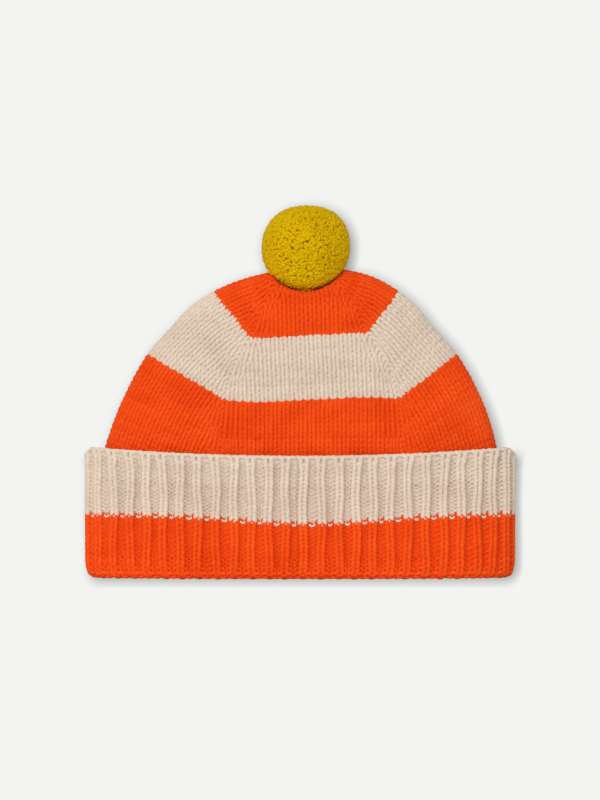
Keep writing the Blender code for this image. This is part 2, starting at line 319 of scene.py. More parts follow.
def swept_bottom(aside, y):
    """Lowest height that the nodding pompom reaches above points of the plan."""
    lowest = np.full(len(y), POMPOM_Z)
    arm = POMPOM_Z - NOD_HEIGHT
    for angle in np.linspace(-NOD_LIMIT, NOD_LIMIT, NOD_STEPS):
        ahead = y - arm * math.sin(angle)
        room = NEST_RADIUS ** 2 - aside ** 2 - ahead ** 2
        drop = np.sqrt(np.maximum(room, 1e-6))
        below_binding = drop * math.cos(angle) - ahead * math.sin(angle)
        drop = drop - (1 - SQUAT) * below_binding ** 2 / drop
        lowest = np.where(room > 0, np.minimum(lowest, NOD_HEIGHT + arm * math.cos(angle) - drop), lowest)
    return lowest


def nest(points):
    """The top of the crown gives way under the pompom."""
    aside = points[:, 0] - POMPOM_X
    gap = points[:, 2] - swept_bottom(aside, points[:, 1])
    give = (gap + np.sqrt(gap ** 2 + NEST_ROUNDING ** 2)) / 2
    pressed = points.copy()
    pressed[:, 2] -= give * np.clip((NEST_RADIUS - np.abs(aside)) / NEST_EDGE, 0, 1)
    return pressed


def crown_grid():
    """The crown's cloth as a coarse closed sheet: rows of points from the turn-up to near the top."""
    across, deep = section(2 * np.pi * np.arange(SHEET_AROUND) / SHEET_AROUND)
    rows = []
    for height in np.linspace(SHEET_LOW, SHEET_HIGH, SHEET_ROWS):
        left = crown_profile(height)
        x = crown_centre(height) + CROWN_HALF_WIDTH * left * across
        rows.append(columns(x, CROWN_HALF_DEPTH * left * deep, np.full(SHEET_AROUND, height)))
    return np.array(rows)


def settle_crown():
    """Lets the crown's cloth, a little roomier than its form, settle under its own weight.

    Returns how far each point of the coarse sheet moved, kept within SETTLE_LIMIT.
    """
    grid = crown_grid()
    start = grid + np.random.default_rng(11).normal(0, SETTLE_START, grid.shape)
    index = np.arange(SHEET_ROWS * SHEET_AROUND).reshape(SHEET_ROWS, SHEET_AROUND)
    beside = np.roll(index, -1, axis=1)
    faces = np.stack([index[:-1], beside[:-1], beside[1:], index[1:]], axis=2).reshape(-1, 4)
    mesh = bpy.data.meshes.new("settling_cloth")
    mesh.from_pydata(start.reshape(-1, 3).tolist(), [], faces.tolist())
    cloth = add_object("settling_cloth", mesh)
    held = cloth.vertex_groups.new(name="held")
    held.add(index[[0, -1]].ravel().tolist(), 1.0, "REPLACE")
    hang = cloth.modifiers.new("Settle", "CLOTH")
    hang.collision_settings.use_collision = False
    for setting, value in CLOTH.items():
        setattr(hang.settings, setting, value)
    hang.settings.vertex_group_mass = "held"
    for frame_number in range(1, SETTLE_FRAMES + 1):
        bpy.context.scene.frame_set(frame_number)
    settled = cloth.evaluated_get(bpy.context.evaluated_depsgraph_get()).to_mesh()
    places = np.empty(3 * len(settled.vertices))
    settled.vertices.foreach_get("co", places)
    move = places.reshape(grid.shape) - start
    bpy.data.objects.remove(cloth)
    bpy.data.meshes.remove(mesh)
    bpy.context.scene.frame_set(1)
    far = np.linalg.norm(move, axis=2, keepdims=True)
    return move * SETTLE_LIMIT / (SETTLE_LIMIT + far)


SETTLED = settle_crown()


def settle(points):
    """Moves points of the crown with the settled cloth, and leaves its outline where it is."""
    x, y, z = points[:, 0], points[:, 1], points[:, 2]
    left = np.maximum(crown_profile(z), 1e-6)
    across = np.clip((x - crown_centre(z)) / (CROWN_HALF_WIDTH * left), -1, 1)
    turn = np.arccos(np.sign(across) * np.abs(across) ** (SECTION_POWER / 2))
    around = np.where(y < 0, 2 * np.pi - turn, turn) / (2 * np.pi) * SHEET_AROUND
    row = np.clip((z - SHEET_LOW) / (SHEET_HIGH - SHEET_LOW), 0, 1) * (SHEET_ROWS - 1)
    low_row = np.minimum(row.astype(int), SHEET_ROWS - 2)
    low_around = around.astype(int)
    move = np.zeros_like(points)
    for up in (0, 1):
        for along in (0, 1):
            share = np.abs(1 - up - (row - low_row)) * np.abs(1 - along - (around - low_around))
            move += SETTLED[low_row + up, (low_around + along) % SHEET_AROUND] * share[:, None]
    inside = np.clip((1 - np.abs(across)) / SETTLE_SIDE_FADE, 0, 1)
    inside = inside * np.clip((SHEET_HIGH - z) / SETTLE_TOP_FADE, 0, 1)
    return points + move * inside[:, None]


def course_wave(points):
    """Knitting never hangs quite level: the front's courses dip on one side and rise on the other."""
    x, y, z = points[:, 0], points[:, 1], points[:, 2]
    front = np.clip(-y / 0.008, -1, 1)
    wave = sum(rise * np.exp(-((x - place) / spread) ** 2) for rise, place, spread in FRONT_WAVES)
    back = BACK_WAVE * np.sin(x / BACK_WAVE_LENGTH)
    raised = points.copy()
    share = np.clip((z - 0.068) / 0.015, 0, 1) * np.clip((0.150 - z) / 0.02, 0, 1)
    raised[:, 2] += share * np.where(front > 0, wave * front, -back * front)
    return raised


def even_spacing(points, count):
    """The same line with its points evenly spaced, and its length."""
    along = travelled(points)
    places = np.linspace(0, along[-1], count)
    return columns(*(np.interp(places, along, points[:, axis]) for axis in range(3))), along[-1]


def gore_shape(course):
    """Half-width of the front gore at a course, and how far it is turned aside."""
    share = (course - LOWER_STRIPE_END) / (MIDDLE_STRIPE_END - LOWER_STRIPE_END)
    share = min(max(share, -1.6), 1)
    half = GORE_HALF - (GORE_NARROWS * share ** 1.7 if share > 0 else GORE_FLARES * share)
    return half, GORE_TURN - GORE_STRAIGHTENS * max(share, 0)


def smooth_table(places, values, place):
    """The cubic through four known values."""
    total = 0.0
    for here, value in zip(places, values):
        total += value * math.prod((place - other) / (here - other) for other in places if other != here)
    return total


def course_shape(course):
    """Front height, fold height, front gore half-width and turn of a course."""
    stripe = min(course, MIDDLE_STRIPE_END)
    places, *tables = zip(*CROWN_COURSES)
    return (*(smooth_table(places, table, stripe) for table in tables), *gore_shape(stripe))


def crown_zones(course, shape=None):
    """A course ring as eight lines, in order round the hat from the right fold over the back.

    Each line is (points, length, runs_from_anchor). A gore's wales are parallel to its anchor:
    the middle of the front and back gores, and the folds in the middle of the side gores.
    """
    gore_height, fold_height, half, turn = shape or course_shape(course)
    reach = CROWN_HALF_WIDTH * crown_profile(fold_height)
    centre = crown_centre(fold_height)
    lines = []
    ease = 1 - np.cos(np.linspace(0, math.pi / 2, 4 * ZONE_POINTS))
    for side, first, last in ((1, centre + reach, centre - reach), (-1, centre - reach, centre + reach)):
        middle = -side * turn
        corners = (first, middle + side * half, True), (last, middle - side * half, False)
        for fold, corner, outward in corners:
            x = fold + (corner - fold) * ease
            rise = (x - corner) / (fold - corner)
            height = gore_height + (fold_height - gore_height) * rise
            side_line = columns(x, side * crown_depth(x, height), height)
            x = np.linspace(middle, corner, 2 * ZONE_POINTS)
            level = np.full(len(x), gore_height)
            gore_line = columns(x, side * crown_depth(x, level), level)
            if outward:
                lines += [(side_line, True), (gore_line[::-1], False)]
            else:
                lines += [(gore_line, True), (side_line[::-1], False)]
    zones = []
    for number, (line, from_anchor) in enumerate(lines):
        if course > MIDDLE_STRIPE_END:
            line = close_towards_hole(line, number, course)
        points, length = even_spacing(nest(settle(course_wave(line))), ZONE_POINTS)
        zones.append((points, length, from_anchor))
    return zones


def close_towards_hole(line, number, course):
    """Moves a line of the cap's edge towards the tie hole, over the dome."""
    share = (course - MIDDLE_STRIPE_END) / CAP_COURSES
    along = np.linspace(0, 1, len(line))
    towards_fold = (1 - along, 0 * along, 0 * along, along)[number % 4]
    outward = (1 - share ** (CAP_GATHER - CAP_GATHER_DROP * towards_fold))[:, None]
    direction = unit((line[:, :2] - (POMPOM_X, 0)) / (0.5 * CROWN_HALF_WIDTH, 0.7 * CROWN_HALF_DEPTH))
    rim = direction * TIE_HOLE_RADIUS + (POMPOM_X, 0)
    place = rim + (line[:, :2] - rim) * outward
    return np.column_stack([place, dome_height(place[:, 0], place[:, 1])])


# ---- Yarn ----


class Knit:
    """Collects tubes of yarn and the thin web behind them, and turns them into one mesh."""

    def __init__(self, sides):
        self.sides = sides
        self.angle = 2 * np.pi * np.arange(sides) / sides
        self.vertices, self.quads, self.caps = [], [], []
        self.values = {"yarn_along": [], "yarn_cos": [], "yarn_sin": [], "yarn_shade": []}
        self.count = 0

    def note(self, along, around, shade, size):
        for values, numbers in zip(self.values.values(), (along, np.cos(around), np.sin(around), shade)):
            values.append(np.broadcast_to(numbers, size))

    def add(self, path, normals, radius, closed, shade=0.5):
        """One tube; normals only steady its sides, and radius is one value or one per point."""
        points = len(path)
        tangent = tangents(path, closed)
        side = unit(np.cross(tangent, normals))
        up = np.cross(side, tangent)
        cos, sin = np.cos(self.angle)[None, :, None], np.sin(self.angle)[None, :, None]
        ring = side[:, None, :] * cos + up[:, None, :] * sin
        radius = np.broadcast_to(radius, points)[:, None, None]
        self.vertices.append((path[:, None, :] + ring * radius).reshape(-1, 3))
        index = self.count + np.arange(points * self.sides).reshape(points, self.sides)
        near = index if closed else index[:-1]
        far = np.roll(index, -1, axis=0) if closed else index[1:]
        near_next, far_next = np.roll(near, -1, axis=1), np.roll(far, -1, axis=1)
        self.quads.append(np.stack([near, near_next, far_next, far], axis=2).reshape(-1, 4))
        if not closed:
            self.caps += [index[0][::-1], index[-1]]
        size = points * self.sides
        self.note(np.repeat(travelled(path), self.sides), np.tile(self.angle, points), shade, size)
        self.count += size

    def add_web(self, rings, front, back, shade):
        """A thin closed web behind the loops; rings are (points, outward normals) from end to end."""
        sheet = [points + normals * front for points, normals in rings]
        sheet += [points + normals * back for points, normals in rings[::-1]]
        vertices = np.concatenate(sheet)
        index = self.count + np.arange(len(vertices)).reshape(-1, len(sheet[0]))
        far = np.roll(index, -1, axis=0)
        quads = np.stack([index, np.roll(index, -1, axis=1), np.roll(far, -1, axis=1), far], axis=2)
        self.vertices.append(vertices)
        self.quads.append(quads.reshape(-1, 4))
        self.note(0.0, 0.0, shade, len(vertices))
        self.count += len(vertices)

    def build(self, name, yarn, body="hat", node=None):
        """Makes the piece of a yarn (material, slot; the slot is not used), riding on a body in place of a
        CAD node.
        """
        vertices = np.concatenate(self.vertices).astype(np.float32)
        quads = np.concatenate(self.quads)
        caps = np.array(self.caps, dtype=int).reshape(-1, self.sides)
        loops = np.concatenate([quads.ravel(), caps.ravel()])
        sizes = np.concatenate([np.full(len(quads), 4), np.full(len(caps), self.sides)])
        starts = np.concatenate([[0], np.cumsum(sizes)[:-1]])
        mesh = bpy.data.meshes.new(name)
        mesh.vertices.add(len(vertices))
        mesh.vertices.foreach_set("co", vertices.ravel())
        mesh.loops.add(len(loops))
        mesh.loops.foreach_set("vertex_index", loops.astype(np.int32))
        mesh.polygons.add(len(sizes))
        mesh.polygons.foreach_set("loop_start", starts.astype(np.int32))
        mesh.update(calc_edges=True)
        mesh.shade_smooth()
        for label, numbers in self.values.items():
            layer = mesh.attributes.new(label, "FLOAT", "POINT")
            layer.data.foreach_set("value", np.concatenate(numbers).astype(np.float32))
        self.lay_out(mesh, len(quads), len(caps))
        material, slot = yarn
        mesh.materials.append(material)
        piece = add_object(name, mesh)
        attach(piece, body)
        if node:
            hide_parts(node)

    def lay_out(self, mesh, quads, caps):
        """Gives every face its own cell of a square grid, for baking."""
        across = math.ceil(math.sqrt(quads + caps))
        cell = np.arange(quads + caps)
        corner = columns(cell % across, cell // across)
        square = np.array([(0.1, 0.1), (0.9, 0.1), (0.9, 0.9), (0.1, 0.9)])
        disc = 0.5 + 0.4 * columns(np.cos(self.angle), np.sin(self.angle))
        places = [corner[:quads, None, :] + square, corner[quads:, None, :] + disc]
        places = np.concatenate([place.reshape(-1, 2) for place in places]) / across
        mesh.uv_layers.new(name="OFBake").data.foreach_set("uv", places.astype(np.float32).ravel())


def ring_frame(line, below, above, outward):
    """Directions on the surface along a line: wale and outward, and the course height."""
    course = tangents(line, False)
    rise = above - below
    normal = unit(np.cross(course, rise) * outward)
    wale = np.cross(normal, course)
    height = np.sum(wale * rise, axis=1)
    return wale * np.sign(height)[:, None], normal, np.abs(height)


def sample(table, share):
    """Values of a table at shares of its length."""
    place = np.clip(share, 0, 1) * (len(table) - 1)
    low = np.minimum(place.astype(int), len(table) - 2)
    part = (place - low).reshape(-1, *[1] * (table.ndim - 1))
    return table[low] * (1 - part) + table[low + 1] * part


def loops_on_line(line, below, above, edges, outward, shape, points):
    """The yarn of a row of loops between the given edges (shares of the line's length)."""
    wale, normal, height = ring_frame(line, below, above, outward)
    turn = np.linspace(0, 2 * np.pi, points, endpoint=False)
    stitches = len(edges) - 1
    start, width = edges[:-1, None], np.diff(edges)[:, None]
    lean, overlap, out, radius = (np.broadcast_to(part, (stitches, points)) for part in shape(stitches, turn))
    wobble = uneven.normal(0, 1, (3, stitches, 1))
    swell = np.sin(turn / 2)[None, :] ** 2
    across = turn / (2 * np.pi) + lean * np.sin(2 * turn) + WOBBLE[0] * wobble[0] * swell
    share = (start + width * across).ravel()
    rise = -(sample(height, share) / 2 + overlap.ravel()) * np.tile(np.cos(turn), stitches)
    rise += (WOBBLE[1] * wobble[1] * swell).ravel()
    out = (out + WOBBLE[2] * wobble[2] * swell).ravel()
    normals = sample(normal, share)
    path = sample(line, share) + sample(wale, share) * rise[:, None] + normals * out[:, None]
    return path, normals, radius.ravel()


def plain_shape(stitches, turn):
    """Plain knitting: the legs of each loop stand in front, its head and foot behind."""
    return PLAIN_LEAN, PLAIN_OVERLAP, -PLAIN_DEPTH * np.cos(2 * turn), YARN


def rim_shape(stitches, turn):
    """The rolled edge: fine rows of yarn lying almost straight along it."""
    return 0.0, RIM_OVERLAP, RIM_OUT + RIM_LOOP * np.cos(2 * turn), RIM_YARN


def rib_shoulder(share):
    """How far a rib wale has risen from its edge towards its middle."""
    return np.abs(np.sin(np.pi * share)) ** 0.8


def rib_shape_at(fade, relief_share, flat, reach):
    """One-by-one rib: knit wales stand forward as two cords, purl wales lie back as small bumps.

    The heads of the purl loops reach that much further over the next course.
    """

    def shape(stitches, turn):
        knit = np.broadcast_to((np.arange(stitches) % 2 == 0)[:, None], (stitches, len(turn)))
        relief = RIB_RELIEF * relief_share * rib_shoulder(turn / (2 * np.pi))
        wave = ((1 + np.cos(turn)) / 2) ** 2 - np.cos(2 * turn)
        legs = np.abs(np.sin(turn))
        knit_wave = RIB_LOOP[0] * (wave * fade + 0.5 * (1 - fade))
        purl_wave = RIB_LOOP[1] * fade * np.cos(2 * turn) - relief - PURL_DEPTH_AT_RIM * (1 - fade)
        out = np.where(knit, relief + knit_wave, purl_wave) * (1 - 0.6 * flat)
        radius = np.where(knit, *RIB_YARN) + np.where(knit, *RIB_LEG_SWELL) * legs
        radius = radius + (np.where(knit, *RIB_YARN_AT_RIM) - radius) * (1 - fade)
        radius = radius + (RIB_YARN_AT_FOLD - radius) * flat
        head = np.where(knit, 0, reach * np.sin(turn / 2) ** 2)
        overlap = np.where(knit, *RIB_OVERLAP) + head
        return np.where(knit, *RIB_LEAN), overlap, out + 0.6 * head, radius

    return shape


def stitch_edges(length, from_anchor):
    """Stitch edges on a line as shares of its length, full stitches first from its anchor."""
    count = max(1, round(length / STITCH_WIDTH))
    if count < 4:
        edges = np.linspace(0, 1, count + 1)
    else:
        full = np.arange(count - 1) * STITCH_WIDTH / length
        edges = np.concatenate([full, [(full[-1] + 1) / 2, 1]])
    return edges if from_anchor else 1 - edges[::-1]


def crown_course(course, points):
    """The closed yarn path of one course of the crown, with its normals and thickness."""
    at, below, above = (crown_zones(course + shift) for shift in (0.5, 0.0, 1.0))
    rows = []
    for (line, length, from_anchor), (low, _, _), (high, _, _) in zip(at, below, above):
        edges = stitch_edges(length, from_anchor)
        rows.append(loops_on_line(line, low, high, edges, 1, plain_shape, points))
    return [np.concatenate(parts) for parts in zip(*rows)]


def kept_runs(keep):
    """The stretches of a closed path that are kept: their indices, and whether they close."""
    if keep.all():
        return [(np.arange(len(keep)), True)]
    order = np.roll(np.arange(len(keep)), -int(np.argmin(keep)))
    runs = np.split(order, np.flatnonzero(np.diff(keep[order])) + 1)
    return [(run, False) for run in runs if keep[run[0]] and len(run) > 3]


def web_rings(rings, outward):
    """Rings of points with their outward normals."""
    grid = np.array(rings)
    along = np.roll(grid, -1, axis=1) - np.roll(grid, 1, axis=1)
    normals = np.cross(along, np.gradient(grid, axis=0)) * outward
    normals /= np.maximum(np.linalg.norm(normals, axis=2), 1e-12)[:, :, None]
    return list(zip(grid, normals))


def crown_web(first, last):
    """Rings of the web behind the crown's courses, between two courses."""
    low, high = (np.array(course_shape(course)) for course in (first, last))
    if first < 0:
        low[:2] = HIDDEN_BELOW
    rings = []
    for share in np.linspace(0, 1, WEB_ROWS):
        if last > MIDDLE_STRIPE_END:
            zones = crown_zones(first + (last - first) * share)
        else:
            zones = crown_zones(first, tuple(low + (high - low) * share))
        rings.append(np.concatenate([points[:-1:4] for points, _, _ in zones]))
    return web_rings(rings, 1)


def knit_crown(name, first, last, yarn, node, web=None):
    """A piece of the crown, from one course to another, and the web between two courses."""
    knit = Knit(6)
    for course in range(first, last):
        path, normals, radius = crown_course(course, 12)
        for run, closed in kept_runs(path[:, 2] > HIDDEN_BELOW):
            knit.add(path[run], normals[run], radius[run], closed, uneven.uniform(*COURSE_SHADES))
    if web:
        # The web behind the courses is coloured darker than the yarn: painted shade in the gaps
        knit.add_web(crown_web(*web), *CROWN_WEB)
    knit.build(name, yarn, "hat", node)


# ---- Turn-up and inner band ----


def band_profile():
    """The ribbing's middle surface: from inside the rim, over it, down, round the fold and up.

    Rows of (half-width, half-depth, height, sag).
    """
    rows = []

    def inset_row(inset, height, sag):
        rows.append((HALF_WIDTH - inset, HALF_DEPTH - inset, height, sag))

    roll_centre = RIM_HEIGHT - RIM_COVER - RIM_ROLL
    inset_row(RIB_HALF + RIM_ROLL, roll_centre - 0.0030, RIM_SAG)
    for angle in np.linspace(0, math.pi, 9):
        inset_row(RIB_HALF + RIM_ROLL * math.cos(angle), roll_centre + RIM_ROLL * math.sin(angle), RIM_SAG)
    inset_row(RIB_HALF - 0.5 * RIM_ROLL, roll_centre - 0.0016, RIM_SAG)
    inset_row(RIB_HALF, roll_centre - 0.0036, RIM_SAG)
    fold_top = RIB_HALF + FOLD_RADIUS
    for height in np.linspace(roll_centre - 0.0046, fold_top, 30):
        share = min(max((height - fold_top) / (TURN_UP_STRIPE - fold_top), 0), 1)
        inset_row(RIB_HALF, height, RIM_SAG * share * (2 - share))
    for angle in np.linspace(math.pi, 2 * math.pi, 13)[1:]:
        inset = RIB_HALF + FOLD_RADIUS + FOLD_RADIUS * math.cos(angle)
        inset_row(inset, fold_top + FOLD_RADIUS * math.sin(angle), 0)
    inner = [half - RIB_HALF - 2 * FOLD_RADIUS for half in (HALF_WIDTH, HALF_DEPTH)]
    start = np.array([*inner, fold_top, 0])
    goal = np.array([CROWN_HALF_WIDTH, CROWN_HALF_DEPTH, HIDDEN_BELOW, 0])
    rows += [start + (goal - start) * share for share in np.linspace(0, 1, 20)[1:]]
    return np.array(rows)


BAND = band_profile()
BAND_ALONG = travelled(BAND[:, 1:3])
RING_POINTS = 721
RING_ACROSS, RING_DEEP = section(np.linspace(0, 2 * math.pi, 4 * RING_POINTS))


def band_ring(place):
    """The closed ring at a distance along the band's profile, evenly spaced, from the right fold."""
    half_width, half_depth, height, sag = (np.interp(place, BAND_ALONG, BAND[:, axis]) for axis in range(4))
    outer = np.clip((np.abs(RING_ACROSS) - CORNER_START) / (1 - CORNER_START), 0, 1)
    corner = CORNER_DIP * (1 - np.sqrt(1 - CORNER_ROUNDING * outer ** 2))
    corner = corner * np.clip((height - CORNER_BASE) / (RIM_HEIGHT - CORNER_BASE), 0, 1) * (sag > 0)
    middle = np.clip(1 - abs(height - TURN_UP_STRIPE) / STRIPE_SAG_REACH, 0, 1)
    stripe_rise = 1 - np.exp(-((RING_ACROSS - STRIPE_SAG[0]) / STRIPE_SAG[1]) ** 2)
    rise = (1 - middle) * RING_ACROSS ** 2 + middle * stripe_rise
    low = math.exp(-((height / FOLD_TUCK_HEIGHT) ** 2))
    tuck = 1 - FOLD_TUCK * np.clip((np.abs(RING_ACROSS) - 0.9) / 0.1, 0, 1) * low
    ring = columns(half_width * RING_ACROSS * tuck, half_depth * RING_DEEP, height + sag * rise - corner)
    return even_spacing(ring, RING_POINTS)[0]


def rib_edges(place):
    """Wale edges round the band: the knit wales are wider, nearly meet at the rim, and meander."""
    period = 1 / RIB_COUNT
    number = np.arange(RIB_COUNT)
    knit = KNIT_SHARE + (RIM_KNIT_SHARE - KNIT_SHARE) * (1 - rib_fade(place))
    sway = RIB_SWAY * np.sin(place / RIB_SWAY_LENGTH + 2.4 * number) + RIB_SWAY * np.sin(0.9 * number)
    starts = 0.75 + RIB_SHIFT + (number - knit / 2) * period + sway
    edges = columns(starts, starts + knit * period).ravel()
    return np.append(edges, starts[0] + 1)


def rib_fade(place):
    """0 along the rolled rim, where every wale looks plain, rising to 1 in the ribbing."""
    return min(max((place - RIM_END) / RIM_FADE, 0.0), 1.0)


def fold_press(place):
    """1 where the band is folded and its ribs are pressed flat, falling to 0 beside it."""
    return math.exp(-((place - FOLD_PLACE) / FOLD_PRESS) ** 2)


def relief_share(place):
    """The ribs' relief: none on the rim, and little where the band is folded."""
    return rib_fade(place) * (1 - 0.9 * fold_press(place))


def band_course(place, row, points, reach):
    """The closed yarn path of one course of ribbing, with its normals and thickness."""
    rings = [band_ring(place + shift) for shift in (0, -row / 2, row / 2)]
    doubled = [np.concatenate([ring[:-1], ring]) for ring in rings]
    shape = rib_shape_at(rib_fade(place), relief_share(place), fold_press(place), reach)
    if place < RIM_END:
        shape = rim_shape
    return loops_on_line(*doubled, rib_edges(place) / 2, -1, shape, points)


def band_web(start, end, rows):
    """Rings of the web behind the ribbing, four points to a wale, with the ribs' relief."""
    share = np.arange(4) / 4
    knit = np.where(np.arange(2 * RIB_COUNT) % 2 == 0, 1, -1)[:, None]
    relief = (RIB_RELIEF * knit * rib_shoulder(share)).ravel()
    grid, depths = [], []
    for place in np.linspace(start, end, rows):
        edges = rib_edges(place)
        places = (edges[:-1, None] + np.diff(edges)[:, None] * share).ravel() % 1
        grid.append(sample(band_ring(place), places))
        depths.append(relief * relief_share(place))
    rings = web_rings(grid, -1)
    return [(points + normals * depth[:, None], normals) for (points, normals), depth in zip(rings, depths)]


def knit_band(name, start, end, courses, yarn, node, points=12, sides=6, last_reach=0.0):
    """A piece of the ribbing, between two distances along the band's profile."""
    knit = Knit(sides)
    row = (end - start) / courses
    for course in range(courses):
        reach = last_reach if course == courses - 1 else 0.0
        path, normals, radius = band_course(start + row * (course + 0.5), row, points, reach)
        # Each course's tone is random, plus painted light on every course of the band
        knit.add(path, normals, radius, True, uneven.uniform(*COURSE_SHADES) + TURN_UP_PAINTED_LIGHT)
    knit.add_web(band_web(start, end, courses + 1), *BAND_WEB)
    knit.build(name, yarn, "hat", node)


def place_at_height(height, after, before):
    """Distance along the band's profile where it passes a height."""
    inside = (BAND_ALONG >= after) & (BAND_ALONG <= before)
    along, heights = BAND_ALONG[inside], BAND[inside, 2]
    order = np.argsort(heights)
    return float(np.interp(height, heights[order], along[order]))


RIM_TOP = float(BAND_ALONG[np.argmax(BAND[:, 2])])
RIM_END = RIM_TOP + 0.0010
FOLD_PLACE = float(BAND_ALONG[np.argmin(BAND[:, 2])])
STRIPE_PLACE = place_at_height(TURN_UP_STRIPE, RIM_TOP, FOLD_PLACE)
BAND_END = float(BAND_ALONG[-1])

# ---- Pompom and its tie ----

POMPOM_CENTRE = np.array([POMPOM_X, 0, POMPOM_Z])


def points_down(direction, angle):
    """Whether a direction is within an angle, in degrees, of straight down."""
    return direction[2] < -math.cos(math.radians(angle))


def uneven_directions(count, spread, open_angle):
    """Evenly spread directions, each a little off, with none near straight down."""
    number = np.arange(count) + 0.5
    height = 1 - 2 * number / count
    turn = math.pi * (1 + math.sqrt(5)) * number
    across = np.sqrt(1 - height ** 2)
    for direction in columns(across * np.cos(turn), across * np.sin(turn), height):
        direction = unit(direction + uneven.normal(0, spread, 3))
        if not points_down(direction, open_angle):
            yield direction


def any_side(direction):
    """A random direction square to a given one."""
    return unit(np.cross(direction, uneven.normal(0, 1, 3)))


def pompom_reach(direction):
    """Trimmed by hand: a little square towards the top, fullest at the upper right and flatter below."""
    square = np.sum(np.abs(direction) ** TRIM_POWER) ** (-1 / TRIM_POWER) - 1
    upper = min(max(direction[2] + 0.35, 0), 0.5) / 0.5
    full = max(direction[0] * 0.8 + direction[2] * 0.6, 0) ** 4
    flatter = (1 - SQUAT) * max(-direction[2], 0) ** 2
    return POMPOM_RADIUS * (1 + TRIM_SQUARE * upper * square - flatter) + TRIM_FULL * full


def make_pompom():
    """Cut yarn ends fanning out from the binding, with room below them for the tie."""
    knit = Knit(5)
    low, high = TRIM_LIMITS
    for direction in uneven_directions(STRAND_COUNT, 0.014, TIE_ANGLE):
        trim = uneven.normal(0, TRIM_UNEVEN + TRIM_UNEVEN * direction[1] ** 2)
        reach = pompom_reach(direction) + min(max(trim, low), high)
        if points_down(direction, TUFT_ANGLE):
            reach += CHANNEL_TUFT
        sideways = any_side(direction)
        bend = uneven.normal(0, STRAND_BEND)
        places = TUFT_SHARES if points_down(direction, CHANNEL_ANGLE) else STRAND_SHARES
        path = POMPOM_CENTRE + direction * (places * reach)[:, None]
        path = path + sideways * (bend * places ** 3)[:, None]
        thick = STRAND_WIDTHS * uneven.uniform(0.84, 1.14)
        # Each strand's tone is random, plus painted light on the strands that point down
        shade = uneven.uniform(*COURSE_SHADES) + UNDERSIDE_PAINTED_LIGHT * max(-direction[2] - 0.25, 0)
        knit.add(path, np.broadcast_to(sideways, path.shape), thick, False, shade)
    knit.build("pompom_strands", MUSTARD, "pompom_ball", "pompom")


def make_pompom_fuzz():
    """Fine fibres that stand out of the cut ends."""
    knit = Knit(3)
    share = np.linspace(0, 1, len(FUZZ_WIDTHS))
    for direction in uneven_directions(FUZZ_COUNT, 0.05, FUZZ_ANGLE):
        sideways = any_side(direction)
        start = pompom_reach(direction) - FUZZ_ROOT
        length = FUZZ_LENGTH + abs(uneven.normal(0, 0.0005))
        path = POMPOM_CENTRE + direction * (start + length * share)[:, None]
        path = path + sideways * (uneven.normal(0, FUZZ_BEND) * share ** 2)[:, None]
        knit.add(path, np.broadcast_to(sideways, path.shape), FUZZ_WIDTHS, False, 0.8)
    knit.build("pompom_fuzz", MUSTARD, "pompom_ball")


def twist_plies(knit, path, radius, plies, pitch, closed, shade=0.5):
    """Plies twisted round a path, like a spun yarn."""
    tangent = tangents(path, closed)
    along = travelled(path)
    length = along[-1] + (np.linalg.norm(path[0] - path[-1]) if closed else 0)
    turns = max(1, round(length / pitch)) if closed else length / pitch
    current = np.array([0.31, 0.17, 0.93] if abs(tangent[0][2]) < 0.9 else [0.93, 0.31, 0.17])
    side = np.zeros_like(path)
    for index, direction in enumerate(tangent):
        current = unit(current - direction * np.dot(current, direction))
        side[index] = current
    up = np.cross(tangent, side)
    slip = 0.0
    if closed:
        last = side[-1] - tangent[0] * np.dot(side[-1], tangent[0])
        slip = math.atan2(np.dot(last, up[0]), np.dot(last, side[0]))
    for number in range(plies):
        angle = 2 * math.pi * (turns * along / length + number / plies) - slip * along / length
        offset = side * np.cos(angle)[:, None] + up * np.sin(angle)[:, None]
        knit.add(path + offset * (radius * PLY_OFFSET), side, radius * PLY_RADIUS, closed, shade)


def make_tie():
    """The pompom's yarn tie, from the binding down through the crown to its knot and tails."""
    cord_low, cord_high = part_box("tie_cord")
    cord = np.linspace((POMPOM_X, 0, cord_low.z), (POMPOM_X, 0, cord_high.z), 70)
    tie_piece("tie_cord_plies", "tie_cord", cord, (cord_high.x - cord_low.x) / 2, False)
    knot_low, knot_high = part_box("tie_knot")
    knot_z = ((knot_low + knot_high) / 2).z
    third = KNOT_RADIUS / 3
    loop = []
    for step in range(150):
        angle = 2 * math.pi * step / 150
        loop.append((
            POMPOM_X + third * (math.sin(angle) + 2 * math.sin(2 * angle)),
            third * (math.cos(angle) - 2 * math.cos(2 * angle)),
            knot_z - third * math.sin(3 * angle),
        ))
    tie_piece("tie_knot_plies", "tie_knot", np.array(loop), KNOT_RADIUS / 5, True)
    for name, side in (("tie_tail_left", -1), ("tie_tail_right", 1)):
        low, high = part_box(name)
        inner, outer = (high.x, low.x) if side < 0 else (low.x, high.x)
        radius = (high.y - low.y) / 2
        span = outer - inner - 2 * side * radius
        tail = []
        for share in np.arange(91) / 90:
            aside = inner + side * radius + span * math.sin(share * math.pi / 2)
            tail.append((aside, 0.0006 * math.sin(6 * share), high.z + (low.z - high.z) * share))
        tie_piece(name + "_plies", name, np.array(tail), radius, False, frayed=True)


